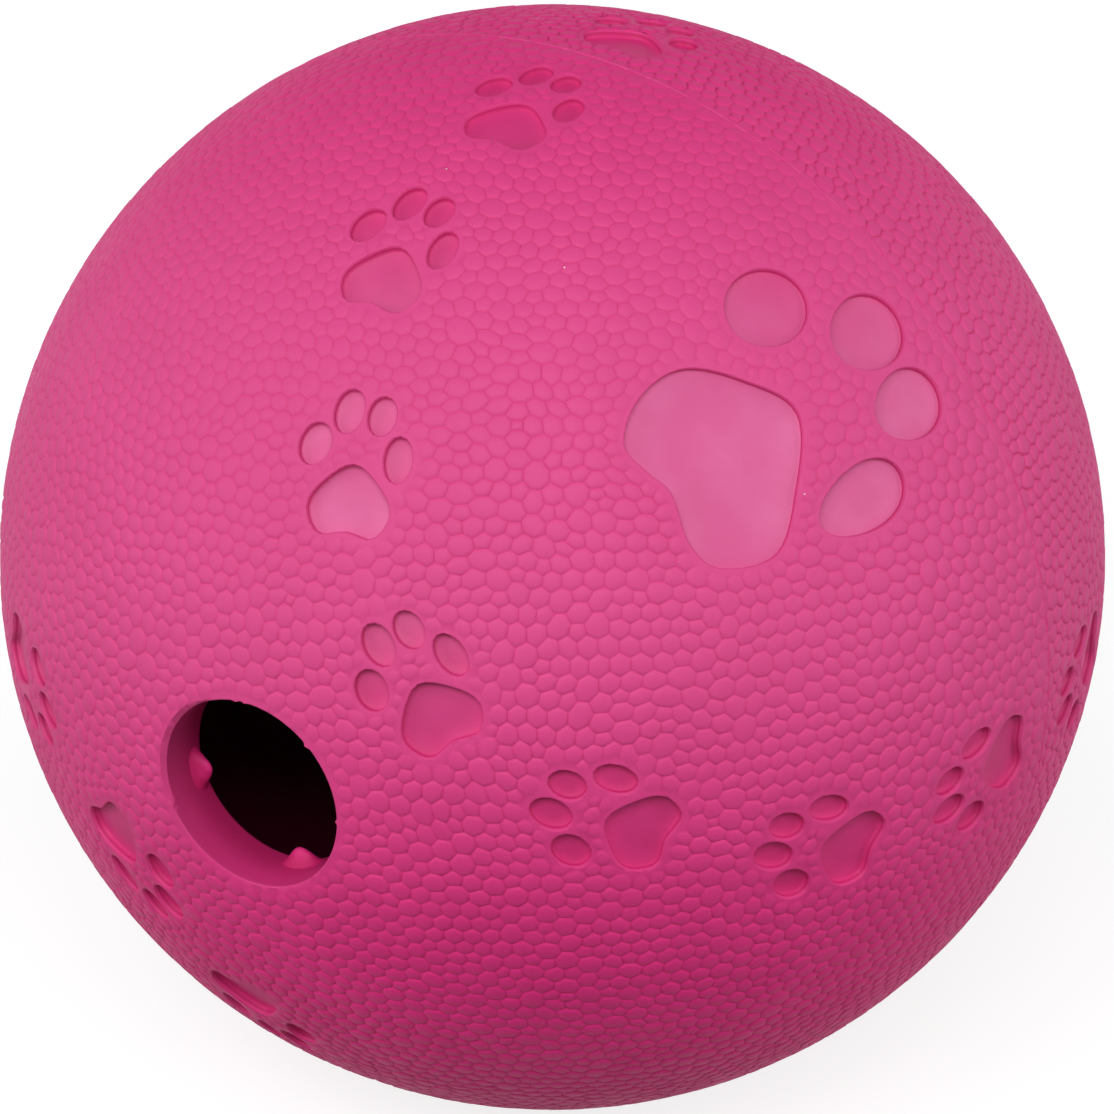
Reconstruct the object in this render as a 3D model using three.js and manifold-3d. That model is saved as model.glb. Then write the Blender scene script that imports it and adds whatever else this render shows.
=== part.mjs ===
// A hollow rubber treat ball for dogs. Two moulded half shells are bonded at a seam, paw prints are sunk
// into the skin, and four rubber lugs at the inner end of the treat hole hold the treats back.
//
// Millimetres, +Z up. The origin is the ball's centre, and the treat hole looks along -Y.

import * as THREE from 'three';
import { mergeVertices } from 'three/addons/utils/BufferGeometryUtils.js';
import Module from 'manifold-3d';

// Ball and wall
const BALL_DIAMETER = 90;
const WALL = 4.7;
const SEAM_WIDTH = 0.5;
const SEAM_PROUD = 0.12;

// Treat hole
const HOLE_DIAMETER = 15.6;
const RIM_ROUNDING = 0.3;

// Retaining lugs: a tongue with a round heel, which sits in a pocket in the bore's wall
const LUG_COUNT = 4;
const LUG_ROLL = 15;
const LUG_WIDTH = 3.2;
const LUG_REACH = 1.3;
const LUG_THICKNESS = 1.2;
const LUG_ROOT = 0.7;
const LUG_SWING = 18;
const LUG_GAP = 0.3;
const LUG_COVER = 0.5;

// Paw prints: a recess lies so far forwards and to the left of the print's own centre, along the skin, and a
// pad's points lie so far forwards and to the left of the pad's centre
const PAW_DEPTH = 0.8;
const PATTERN_ROLL = 41.2;
const PATTERN_COUNT = 2;

// Large print, whose toes point away from the treat hole
const LARGE_PAW_FROM_HOLE = 68.7;
const LARGE_PAD = {
  forward: -7.2,
  left: 0.8,
  points: [
    [7.1, -0.2], [4.9, 4.2], [1.6, 7.4], [-2.4, 7.5], [-5.5, 5.4], [-5.3, 2.6],
    [-4.8, 0.5], [-5.8, -3.4], [-4.8, -6.1], [-0.6, -7.7], [3.3, -4.9],
  ],
};
const LARGE_TOES = [
  { forward: 3.5, left: 8.4, length: 7.3, width: 6.1, tilt: 0, taper: 0 },
  { forward: 9.8, left: 2.4, length: 7.6, width: 5.8, tilt: 0, taper: 0.06 },
  { forward: 9.2, left: -3.9, length: 7.2, width: 5.3, tilt: -5, taper: 0.08 },
  { forward: 0.8, left: -7.5, length: 8.5, width: 4.9, tilt: -4, taper: 0.15 },
];

// Small prints, which walk round the large one on an oval track. Each one strays so far forwards and to the left
// of its even place on the track, and is turned to the left by an angle
const TRACK_FROM_HOLE = 73.7;
const TRACK_LENGTH = 100;
const TRACK_BREADTH = 87.6;
const SMALL_PRINTS = [
  { forward: -0.2, left: 0.3, turn: -4 },
  { forward: 0.1, left: -0.9, turn: 2 },
  { forward: -0.8, left: -0.3, turn: -15 },
  { forward: -0.6, left: 0, turn: -4 },
  { forward: -0.1, left: 4.4, turn: -20 },
  { forward: 0, left: 11, turn: -8 },
  { forward: 0, left: 11, turn: 4 },
  { forward: 0, left: 11.5, turn: 8 },
  { forward: -0.9, left: 4.4, turn: 27 },
  { forward: 0, left: 0, turn: 15 },
  { forward: -0.6, left: -0.2, turn: 0 },
  { forward: -1, left: -0.4, turn: -12 },
];
const SMALL_PAD = {
  forward: -2.6,
  left: 0,
  points: [
    [2.95, 0], [1.5, 2.2], [-0.4, 3.3], [-2.3, 2.2], [-2.0, 0], [-2.3, -2.2], [-0.4, -3.3], [1.5, -2.2],
  ],
};
const SMALL_TOES = [
  { forward: 1.6, left: 3.45, length: 3.25, width: 2.6, tilt: -14, taper: 0 },
  { forward: 4.3, left: 1.2, length: 3.4, width: 2.4, tilt: -3, taper: 0 },
  { forward: 4.2, left: -1.45, length: 3.0, width: 2.25, tilt: 0, taper: 0 },
  { forward: 1.1, left: -3.3, length: 3.5, width: 2.2, tilt: 4, taper: 0 },
];

// How finely round shapes are drawn
const BALL_SEGMENTS = 48;
const CAVITY_SEGMENTS = 32;
const BORE_SEGMENTS = 32;
const RIM_STEPS = 3;
const LUG_STEPS = 8;
const LARGE_PAD_SIDES = 26;
const LARGE_TOE_SIDES = 12;
const SMALL_PAD_SIDES = 14;
const SMALL_TOE_SIDES = 8;

// How far a cutting shape runs past the surface that it cuts
const CUT_PAST = 1;

// Sizes that follow from those above
const ballRadius = BALL_DIAMETER / 2;
const cavityRadius = ballRadius - WALL;
const holeRadius = HOLE_DIAMETER / 2;
const printFloor = ballRadius - PAW_DEPTH;
const boreInnerEnd = Math.sqrt(cavityRadius ** 2 - holeRadius ** 2);
const lugSwing = THREE.MathUtils.degToRad(LUG_SWING);
const pocketRadius = LUG_THICKNESS / 2 + LUG_GAP;
const pocketMouth = LUG_ROOT * Math.tan(lugSwing) + pocketRadius / Math.cos(lugSwing);
const lugPivotY = -(boreInnerEnd + LUG_COVER + pocketMouth);
const lugPivotRadius = holeRadius + LUG_ROOT;

const wasm = await Module();
wasm.setup();

// Turns a closed geometry into a solid that can be joined and cut
function toSolid(geometry) {
  const bare = geometry.index ? geometry.toNonIndexed() : geometry.clone();
  bare.deleteAttribute('normal');
  bare.deleteAttribute('uv');
  const merged = mergeVertices(bare);
  const mesh = new wasm.Mesh({
    numProp: 3,
    vertProperties: new Float32Array(merged.attributes.position.array),
    triVerts: new Uint32Array(merged.index.array),
  });
  return new wasm.Manifold(mesh);
}

// Turns a solid back into a geometry with flat faces
function toGeometry(solid) {
  const mesh = solid.getMesh();
  const indexed = new THREE.BufferGeometry();
  indexed.setAttribute('position', new THREE.BufferAttribute(new Float32Array(mesh.vertProperties), 3));
  indexed.setIndex(new THREE.BufferAttribute(new Uint32Array(mesh.triVerts), 1));
  const geometry = indexed.toNonIndexed();
  geometry.computeVertexNormals();
  return geometry;
}

function sphereSolid(radius, segments) {
  return toSolid(new THREE.SphereGeometry(radius, segments, segments / 2));
}

// A box that holds everything between two heights along Y
function slabSolid(lowY, highY) {
  const across = BALL_DIAMETER + 2 * (SEAM_PROUD + CUT_PAST);
  const slab = new THREE.BoxGeometry(across, highY - lowY, across);
  return toSolid(slab.translate(0, (lowY + highY) / 2, 0));
}

// The direction from the ball's centre at an angle from the treat hole's axis, rolled up from +X
function ballDirection(fromHoleDegrees, rollDegrees) {
  const fromHole = THREE.MathUtils.degToRad(fromHoleDegrees);
  const roll = THREE.MathUtils.degToRad(rollDegrees);
  const across = Math.sin(fromHole);
  return new THREE.Vector3(across * Math.cos(roll), -Math.cos(fromHole), across * Math.sin(roll));
}

// The tangent at a point of the ball that is closest to another direction
function tangentAt(outward, towards) {
  return towards.clone().addScaledVector(outward, -towards.dot(outward)).normalize();
}

// A print's axes at the ball's centre: X forwards, Y to the left and Z out of the ball
function printAxes(outward, forward) {
  const left = new THREE.Vector3().crossVectors(outward, forward);
  return new THREE.Matrix4().makeBasis(forward, left, outward);
}

// A print's axes carried along the skin, so far forwards and to the left
function carriedAxes(print, place) {
  const arc = Math.hypot(place.forward, place.left) / ballRadius;
  const rollAxis = new THREE.Vector3(-place.left, place.forward, 0).normalize();
  return print.clone().multiply(new THREE.Matrix4().makeRotationAxis(rollAxis, arc));
}

// A print's axes turned to the left
function turnedAxes(print, degrees) {
  return print.clone().multiply(new THREE.Matrix4().makeRotationZ(THREE.MathUtils.degToRad(degrees)));
}

// A smooth closed outline through a pad's points
function padOutline(pad, sides) {
  const corners = pad.points.map(([forward, left]) => new THREE.Vector3(forward, left, 0));
  const curve = new THREE.CatmullRomCurve3(corners, true, 'catmullrom');
  return curve.getPoints(sides).slice(0, sides).map((point) => new THREE.Vector2(point.x, point.y));
}

// A toe's oval, which can be narrower at its heel end than at its tip
function toeOutline(toe, sides) {
  return Array.from({ length: sides }, (_, side) => {
    const turn = (2 * Math.PI * side) / sides;
    const along = Math.cos(turn);
    const across = Math.sin(turn) * (1 + toe.taper * along);
    const point = new THREE.Vector2((toe.length / 2) * along, (toe.width / 2) * across);
    return point.rotateAround(new THREE.Vector2(), THREE.MathUtils.degToRad(toe.tilt));
  });
}

// A recess's cutting prism, from its flat floor to outside the skin
function recessCutter(outline, axes, floor) {
  const prism = new THREE.ExtrudeGeometry(new THREE.Shape(outline), {
    depth: ballRadius + CUT_PAST - floor,
    bevelEnabled: false,
  });
  return toSolid(prism.translate(0, 0, floor).applyMatrix4(axes));
}

// The large pad is so wide that its floor has to follow the ball's curve
function largePadCutter(print) {
  const outline = padOutline(LARGE_PAD, LARGE_PAD_SIDES);
  const reach = Math.max(...outline.map((point) => point.length()));
  const lowest = Math.sqrt(printFloor ** 2 - reach ** 2) - CUT_PAST;
  const prism = recessCutter(outline, carriedAxes(print, LARGE_PAD), lowest);
  return prism.subtract(sphereSolid(printFloor, BALL_SEGMENTS));
}

function largePrintCutters(roll) {
  const outward = ballDirection(LARGE_PAW_FROM_HOLE, roll);
  const print = printAxes(outward, tangentAt(outward, new THREE.Vector3(0, 1, 0)));
  const toes = LARGE_TOES.map((toe) => {
    return recessCutter(toeOutline(toe, LARGE_TOE_SIDES), carriedAxes(print, toe), printFloor);
  });
  return [largePadCutter(print), ...toes];
}

// A point of the oval track, at an angle round the track's centre from the side of the treat hole
function trackPoint(roll, aroundDegrees) {
  const centre = ballDirection(TRACK_FROM_HOLE, roll);
  const toHole = tangentAt(centre, new THREE.Vector3(0, -1, 0));
  const across = new THREE.Vector3().crossVectors(centre, toHole);
  const around = THREE.MathUtils.degToRad(aroundDegrees);
  const swell = (TRACK_LENGTH - TRACK_BREADTH) * Math.cos(2 * around);
  const out = THREE.MathUtils.degToRad((TRACK_LENGTH + TRACK_BREADTH + swell) / 4);
  return centre
    .multiplyScalar(Math.cos(out))
    .addScaledVector(toHole, Math.sin(out) * Math.cos(around))
    .addScaledVector(across, Math.sin(out) * Math.sin(around));
}

function smallPrintCutters(roll) {
  const padShape = padOutline(SMALL_PAD, SMALL_PAD_SIDES);
  const toeShapes = SMALL_TOES.map((toe) => toeOutline(toe, SMALL_TOE_SIDES));
  return SMALL_PRINTS.flatMap((stray, index) => {
    const around = (360 * index) / SMALL_PRINTS.length;
    const outward = trackPoint(roll, around);
    const ahead = trackPoint(roll, around - 1).sub(outward);
    const evenPlace = printAxes(outward, tangentAt(outward, ahead));
    const print = turnedAxes(carriedAxes(evenPlace, stray), stray.turn);
    const toes = SMALL_TOES.map((toe, number) => {
      return recessCutter(toeShapes[number], carriedAxes(print, toe), printFloor);
    });
    return [recessCutter(padShape, carriedAxes(print, SMALL_PAD), printFloor), ...toes];
  });
}

// The treat hole: a straight bore whose outer edge is rounded
function holeCutter() {
  const rimRadius = holeRadius + RIM_ROUNDING;
  const rimY = -Math.sqrt(ballRadius ** 2 - rimRadius ** 2);
  const outsideY = -ballRadius - CUT_PAST;
  const profile = [new THREE.Vector2(0, outsideY), new THREE.Vector2(rimRadius, outsideY)];
  for (let step = 0; step <= RIM_STEPS; step += 1) {
    const turn = (Math.PI / 2) * (step / RIM_STEPS);
    const edge = new THREE.Vector2(-Math.sin(turn), 1 - Math.cos(turn)).multiplyScalar(RIM_ROUNDING);
    profile.push(edge.add(new THREE.Vector2(rimRadius, rimY)));
  }
  const innerY = -boreInnerEnd + CUT_PAST;
  profile.push(new THREE.Vector2(holeRadius, innerY), new THREE.Vector2(0, innerY));
  return toSolid(new THREE.LatheGeometry(profile, BORE_SEGMENTS));
}

// An outline drawn out to both sides of its plane
function centredExtrusion(outline, depth) {
  const options = { depth, bevelEnabled: false, curveSegments: LUG_STEPS };
  return new THREE.ExtrudeGeometry(outline, options).translate(0, 0, -depth / 2);
}

// The place of a lug at its pivot: X towards the bore's axis, Y along the bore and Z along the lug's width
function lugPlace(index) {
  const turn = THREE.MathUtils.degToRad(LUG_ROLL + (360 * index) / LUG_COUNT);
  const inward = new THREE.Vector3(Math.sin(turn), 0, -Math.cos(turn));
  const along = new THREE.Vector3(0, 1, 0);
  const width = new THREE.Vector3().crossVectors(inward, along);
  const place = new THREE.Matrix4().makeBasis(inward, along, width);
  return place.setPosition(-inward.x * lugPivotRadius, lugPivotY, -inward.z * lugPivotRadius);
}

// A lug's pocket is round behind the heel, and its mouth opens as far as the lug swings
function pocketCutter(index) {
  const mouth = LUG_ROOT + CUT_PAST;
  const mouthHalf = mouth * Math.tan(lugSwing) + pocketRadius / Math.cos(lugSwing);
  const outline = new THREE.Shape();
  outline.moveTo(mouth, -mouthHalf);
  outline.lineTo(mouth, mouthHalf);
  outline.absarc(0, 0, pocketRadius, Math.PI / 2 + lugSwing, (3 * Math.PI) / 2 - lugSwing, false);
  const length = LUG_WIDTH + 2 * LUG_GAP;
  return toSolid(centredExtrusion(outline, length).applyMatrix4(lugPlace(index)));
}

// A lug is a tongue with a round heel in side view, and a round tip in front view
function lugSolid(index) {
  const half = LUG_THICKNESS / 2;
  const tip = LUG_ROOT + LUG_REACH;
  const side = new THREE.Shape();
  side.absarc(0, 0, half, Math.PI / 2, (3 * Math.PI) / 2, false);
  side.absarc(tip - half, 0, half, -Math.PI / 2, Math.PI / 2, false);
  const tongue = centredExtrusion(side, LUG_WIDTH);

  const front = new THREE.Shape();
  front.moveTo(-half - CUT_PAST, -LUG_WIDTH / 2);
  front.lineTo(LUG_ROOT, -LUG_WIDTH / 2);
  front.absellipse(LUG_ROOT, 0, LUG_REACH, LUG_WIDTH / 2, -Math.PI / 2, Math.PI / 2, false);
  front.lineTo(-half - CUT_PAST, LUG_WIDTH / 2);
  const outline = centredExtrusion(front, LUG_THICKNESS + 2 * CUT_PAST).rotateX(Math.PI / 2);

  return toSolid(tongue).intersect(toSolid(outline)).transform(lugPlace(index).elements);
}

// The bond between the halves, a flat ring that stands just proud of the skin
function seamBondGeometry() {
  const half = SEAM_WIDTH / 2;
  const profile = [
    new THREE.Vector2(cavityRadius, -half),
    new THREE.Vector2(ballRadius + SEAM_PROUD / 2, -half),
    new THREE.Vector2(ballRadius + SEAM_PROUD, 0),
    new THREE.Vector2(ballRadius + SEAM_PROUD / 2, half),
    new THREE.Vector2(cavityRadius, half),
    new THREE.Vector2(cavityRadius, -half),
  ];
  return new THREE.LatheGeometry(profile, BALL_SEGMENTS);
}

// The whole wall, with its prints sunk to one depth and its hollow cut out
function wallSolid() {
  let skin = sphereSolid(ballRadius, BALL_SEGMENTS);
  for (let pattern = 0; pattern < PATTERN_COUNT; pattern += 1) {
    const roll = PATTERN_ROLL + (360 * pattern) / PATTERN_COUNT;
    for (const cutter of [...largePrintCutters(roll), ...smallPrintCutters(roll)]) {
      skin = skin.subtract(cutter);
    }
  }
  return skin.subtract(sphereSolid(cavityRadius, CAVITY_SEGMENTS));
}

function rubberMaterial(color, roughness) {
  return new THREE.MeshStandardMaterial({ color, roughness, metalness: 0 });
}

function namedMesh(name, geometry, material) {
  const mesh = new THREE.Mesh(geometry, material);
  mesh.name = name;
  return mesh;
}

const ball = new THREE.Group();
const wall = wallSolid();

let frontHalf = wall.intersect(slabSolid(-ballRadius - CUT_PAST, -SEAM_WIDTH / 2)).subtract(holeCutter());
for (let index = 0; index < LUG_COUNT; index += 1) {
  frontHalf = frontHalf.subtract(pocketCutter(index));
  const lug = toGeometry(lugSolid(index));
  ball.add(namedMesh(`retaining_lug_${index + 1}`, lug, rubberMaterial('#d12c78', 0.6)));
}
ball.add(namedMesh('front_half_shell', toGeometry(frontHalf), rubberMaterial('#e0347f', 0.55)));

const rearHalf = wall.intersect(slabSolid(SEAM_WIDTH / 2, ballRadius + CUT_PAST));
ball.add(namedMesh('rear_half_shell', toGeometry(rearHalf), rubberMaterial('#e0347f', 0.55)));
ball.add(namedMesh('seam_bond', seamBondGeometry(), rubberMaterial('#ea5a98', 0.5)));

export default ball;
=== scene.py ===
"""A hollow rubber treat ball: two cobbled half shells with sunk paw prints, their bond, and four lugs."""

import math

import bpy
import numpy as np
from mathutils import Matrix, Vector, geometry, kdtree


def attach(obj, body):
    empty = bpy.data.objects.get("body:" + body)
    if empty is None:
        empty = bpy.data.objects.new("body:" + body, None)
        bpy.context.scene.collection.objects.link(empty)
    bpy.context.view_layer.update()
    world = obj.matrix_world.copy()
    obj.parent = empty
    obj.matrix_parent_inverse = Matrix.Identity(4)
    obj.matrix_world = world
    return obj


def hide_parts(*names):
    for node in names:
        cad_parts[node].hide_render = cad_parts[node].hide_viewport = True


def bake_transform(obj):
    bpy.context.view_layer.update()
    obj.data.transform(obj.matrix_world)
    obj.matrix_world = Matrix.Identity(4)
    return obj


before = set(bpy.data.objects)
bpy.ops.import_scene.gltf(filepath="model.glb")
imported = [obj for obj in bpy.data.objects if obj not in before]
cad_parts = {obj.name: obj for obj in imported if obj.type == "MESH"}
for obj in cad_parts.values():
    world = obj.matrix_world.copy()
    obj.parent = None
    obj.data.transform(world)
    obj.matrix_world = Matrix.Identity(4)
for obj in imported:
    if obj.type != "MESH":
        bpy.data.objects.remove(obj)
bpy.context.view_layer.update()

# Sizes of the ball, in millimetres and degrees
MM = 0.001
BALL_RADIUS = 45
WALL = 4.7
CAVITY_RADIUS = BALL_RADIUS - WALL
SEAM_WIDTH = 0.2
SEAM_PROUD = 0.03
SEAM_SMEAR = 1.2
HOLE_RADIUS = 7.8
LIP_BEVEL = 0.13
WIDE_LIP_BEVEL = 0.42
WIDE_LIP_START = 112
WIDE_LIP_END = 203
WIDE_LIP_RUN_IN = 20
LIP_HEIGHT = 1.4
# The bits that the trimming left on the lip: the angle, reach and breadth of each
LIP_BITS = ((47.5, 0.3, 1.6), (0, 0.22, 1.4), (91, 0.16, 1.2), (97.5, 0.2, 1.5), (203, 0.25, 1.2))
LIP_BIT_THINNING = 0.8
LUG_COUNT = 4
LUG_ROLL = 15
LUG_WIDTH = 3.6
LUG_SPREAD = 0.6
LUG_REACH = 1.45
LUG_RAMP = 1.7
LUG_RAMP_CURVE = 0.7
LUG_FOOT = 0.35
LUG_SINK = 0.3

# Sizes of the sunk prints: places and lengths along (forward, left) from the middle of a print
SMALL_PRINT_DEPTH = 0.8
LARGE_PRINT_DEPTH = 0.62
PRINT_RIM_ROUNDING = 0.17
PRINT_FLOOR_ROUNDING = 0.06
PRINT_DRAFT = 0.02
SMALL_TOE_BOWL = 0.06
FLOOR_RING = 0.45
LARGE_PAD_SIDES = 72
LARGE_TOE_SIDES = 36
SMALL_PAD_SIDES = 30
SMALL_TOE_SIDES = 18
PATTERN_ROLL = 41.2
PATTERN_COUNT = 2
LARGE_PRINT_FROM_HOLE = 68.7
LARGE_PAD_PLACE = (-7.2, 0.8)
LARGE_PAD = (
    (7.1, -0.2), (4.9, 4.2), (1.6, 7.4), (-2.4, 7.5), (-5.5, 5.4), (-5.3, 2.6),
    (-4.8, 0.5), (-5.8, -3.4), (-4.8, -6.1), (-0.6, -7.7), (3.3, -4.9),
)
LARGE_TOES = (
    dict(place=(3.5, 8.4), length=7.3, width=6.1, tilt=0, taper=0),
    dict(place=(9.8, 2.4), length=7.6, width=5.8, tilt=0, taper=0.06),
    dict(place=(9.2, -3.9), length=7.2, width=5.3, tilt=-5, taper=0.08),
    dict(place=(0.8, -7.5), length=8.5, width=4.9, tilt=-4, taper=0.15),
)
TRACK_FROM_HOLE = 73.7
TRACK_LENGTH = 100
TRACK_BREADTH = 87.6
SMALL_PRINTS = (
    dict(stray=(-0.2, 0.3), turn=-4),
    dict(stray=(0.1, -0.9), turn=2),
    dict(stray=(-0.8, -0.3), turn=-15),
    dict(stray=(-0.6, 0), turn=-4),
    dict(stray=(-0.1, 4.4), turn=-20),
    dict(stray=(0, 11), turn=-8),
    dict(stray=(0, 11), turn=4),
    dict(stray=(0, 11.5), turn=8),
    dict(stray=(-0.9, 4.4), turn=27),
    dict(stray=(0, 0), turn=15),
    dict(stray=(-0.6, -0.2), turn=0),
    dict(stray=(-1, -0.4), turn=-12),
)
SMALL_PAD_PLACE = (-2.6, 0)
SMALL_PAD = (
    (2.95, 0), (1.5, 2.2), (-0.4, 3.3), (-2.3, 2.2),
    (-2.0, 0), (-2.3, -2.2), (-0.4, -3.3), (1.5, -2.2),
)
SMALL_TOES = (
    dict(place=(1.6, 3.45), length=3.25, width=2.6, tilt=-14, taper=0),
    dict(place=(4.3, 1.2), length=3.4, width=2.4, tilt=-3, taper=0),
    dict(place=(4.2, -1.45), length=3.0, width=2.25, tilt=0, taper=0),
    dict(place=(1.1, -3.3), length=3.5, width=2.2, tilt=4, taper=0),
)

# Sizes of the cobbled grain
COBBLE_AREA = 1.9
COBBLE_PITCH = math.sqrt(COBBLE_AREA)
COBBLE_STRETCH = 1.08
COBBLE_JITTER = 0.2
COBBLE_SEED = 11
GROOVE_DEPTH = 0.13
REAR_GROOVE_DEPTH = 0.21
FLANK = 0.14
SHOULDER = 0.14
SHOULDER_DROP = 0.045
SMALLEST_TOP = 0.5
HEIGHT_SPREAD = 0.02
RIM_DROP = 0.05
RIM_STEP = 0.8
RIM_ROW = 0.7
RIM_ROW_STEP = 1.25
SEAM_GROOVE_SHARE = 0.35
RELAX_ROUNDS = 1
SMOOTH_ANGLE = 50

# The least distances between the cobbles' seats: those on the rims, in the row beside them and in the field
RIM_SPACING = RIM_STEP * 0.6
ROW_TO_RIM = RIM_ROW * 0.9
ROW_SPACING = COBBLE_PITCH * 0.65
FIELD_TO_RIM = RIM_ROW + COBBLE_PITCH * 0.5
FIELD_TO_ROW = COBBLE_PITCH * 0.75
FIELD_SPACING = COBBLE_PITCH * 0.5

# How far the cutters reach past what they cut
PRINT_CUTTER_FLARE = 0.3
PRINT_CUTTER_RISE = 0.1
PRINT_CUTTER_TOP = 1.6
HOLE_CUTTER_FLARE = 0.4
HOLE_CUTTER_SLOPE = 15
HOLE_CUTTER_TOP = 1
HOLE_CUTTER_INSIDE = 3
SIDE_BOX_MARGIN = 5
AXIS_GAP = 0.01

# Colours of the rubber and of its painted shade and sheen, as linear red, green and blue
SKIN_PINK = (0.71, 0.026, 0.205)
# A deeper pink, for the random mottle and for the painted shade in the grooves, recess walls, bore and lugs
DEEP_PINK = (0.5, 0.012, 0.12)
# A dark pink, painted shade for the bore, the hollow and the bond inside it
PAINTED_SHADE_PINK = (0.25, 0.008, 0.06)
# A paler pink, for painted sheen, powder, wear, painted highlight and the bond's trim
SHEEN_AND_POWDER_PINK = (0.78, 0.17, 0.385)
DUST = (0.85, 0.68, 0.74)

# How much of a deeper or a paler pink each part of the ball shows: mottle, painted shade, painted sheen,
# powder, wear and painted highlight
MOTTLE_SHADE = 0.14
GROOVE_PAINTED_SHADE = 0.2
WALL_PAINTED_SHADE = 0.8
BORE_PAINTED_SHADE = 0.9
BORE_PAINTED_DARKNESS = 0.4
HOLLOW_PAINTED_SHADE = 0.8
PAINTED_SHEEN = 0.33
RIM_WEAR_AND_HIGHLIGHT = 0.12
LIP_PALING = 0.06
FLOOR_SHEEN_AND_POWDER = 0.5
PATCH_SHEEN_AND_POWDER = 0.3
BOND_POWDER = 0.15
TRIMMED_POWDER = 0.2
BOND_PAINTED_SHADE = 0.9

# The sizes of the rubber's marks and fine grain, its roughness and its gloss
MOTTLE_SIZE = 7
PATCH_SIZE = 6
DUST_SPACING = 9
DUST_CORE = 0.06
DUST_EDGE = 0.11
GRAIN_HEIGHT = 0.04
GRAIN_STRENGTH = 0.3
SHELL_ROUGHNESS = 0.52
MOTTLE_ROUGHNESS = 0.12
FLOOR_POLISH = 0.06
BOND_ROUGHNESS = 0.5
TRIMMED_ROUGHNESS = 0.2
LUG_ROUGHNESS = 0.58
RUBBED_POLISH = 0.1
GLOSS = 0.2

# A painted sheen lies in a belt across the ball, with powder on the floors of its prints: the way of its
# axis and the place of its middle along it.
# In the prints, and in the film of painted sheen on the skin, it is full to one distance from there and
# ends at another.
SHEEN_BELT_AXIS = (-0.24, 0.4, 0.88)
SHEEN_BELT_MIDDLE = 6
SHEEN_BELT_FULL = 3
SHEEN_BELT_END = 21
SHEEN_FULL = 8
SHEEN_END = 42


class Wire:
    """One output socket of a node tree. Sums on wires add the Math nodes that work them out."""

    def __init__(self, tree, socket=None):
        self.tree = tree
        self.socket = socket

    def node(self, kind, settings=None, sockets=None, output=0):
        """Add a node: its settings first, then the value or link of each socket, by name or number."""
        made = self.tree.nodes.new(kind)
        for name, value in (settings or {}).items():
            setattr(made, name, value)
        for key, value in (sockets or {}).items():
            if isinstance(value, Wire):
                self.tree.links.new(value.socket, made.inputs[key])
            else:
                made.inputs[key].default_value = value
        return Wire(self.tree, made.outputs[output] if made.outputs else None)

    def output(self, name):
        """Another output of the node that this wire comes from."""
        return Wire(self.tree, self.socket.node.outputs[name])

    def sum(self, operation, *values):
        return self.node("ShaderNodeMath", {"operation": operation}, dict(enumerate(values)))

    def vector(self, operation, *values):
        """Vector maths, with a number as the scale of SCALE."""
        sockets = dict(enumerate(values))
        if operation == "SCALE":
            sockets = {0: values[0], "Scale": values[1]}
        number = "Value" if operation in ("LENGTH", "DISTANCE", "DOT_PRODUCT") else 0
        return self.node("ShaderNodeVectorMath", {"operation": operation}, sockets, number)

    def __add__(self, other):
        return self.sum("ADD", self, other)

    __radd__ = __add__

    def __sub__(self, other):
        return self.sum("SUBTRACT", self, other)

    def __rsub__(self, other):
        return self.sum("SUBTRACT", other, self)

    def __mul__(self, other):
        return self.sum("MULTIPLY", self, other)

    __rmul__ = __mul__

    def __truediv__(self, other):
        return self.sum("DIVIDE", self, other)

    def __rtruediv__(self, other):
        return self.sum("DIVIDE", other, self)

    def step(self, low, high):
        """0 below low, 1 above high, and a smooth rise between them."""
        settings = {"interpolation_type": "SMOOTHSTEP"}
        sockets = {"Value": self, "From Min": low, "From Max": high}
        return self.node("ShaderNodeMapRange", settings, sockets)


# Mesh helpers
def new_object(name, points, faces):
    """A mesh object from points in millimetres."""
    mesh = bpy.data.meshes.new(name)
    mesh.from_pydata((np.asarray(points) * MM).tolist(), [], [tuple(face) for face in faces])
    made = bpy.data.objects.new(name, mesh)
    bpy.context.collection.objects.link(made)
    return made


def evaluated_mesh(item):
    """The item's mesh with its modifiers worked out."""
    depsgraph = bpy.context.evaluated_depsgraph_get()
    return bpy.data.meshes.new_from_object(item.evaluated_get(depsgraph))


def settle(item):
    """Keep the worked-out mesh of an item and take its modifiers away."""
    mesh = evaluated_mesh(item)
    item.modifiers.clear()
    item.data = mesh


def carve(item, cutter):
    """Take the cutter's solid out of the item."""
    modifier = item.modifiers.new("carve", "BOOLEAN")
    modifier.operation = "DIFFERENCE"
    modifier.solver = "MANIFOLD"
    modifier.object = cutter
    settle(item)


def copy_of(item, name):
    """A separate copy of an item with its own mesh."""
    made = bpy.data.objects.new(name, item.data.copy())
    bpy.context.collection.objects.link(made)
    return made


def remove(*items):
    for item in items:
        bpy.data.objects.remove(item)


def ring_faces(first, second, count):
    """Quads between two rings of vertex numbers that start at first and second."""
    faces = []
    for index in range(count):
        after = (index + 1) % count
        faces.append((first + index, first + after, second + after, second + index))
    return faces


def stacked_rings(rings):
    """A closed solid from rings of points, bottom ring first. A fan closes the first and the last ring."""
    count = len(rings[0])
    points = np.concatenate([*rings, [rings[0].mean(axis=0)], [rings[-1].mean(axis=0)]])
    faces = []
    for level in range(len(rings) - 1):
        faces += ring_faces(level * count, (level + 1) * count, count)
    low = len(rings) * count
    last = (len(rings) - 1) * count
    for index in range(count):
        after = (index + 1) % count
        faces.append((low, after, index))
        faces.append((low + 1, last + index, last + after))
    return points, faces


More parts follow.
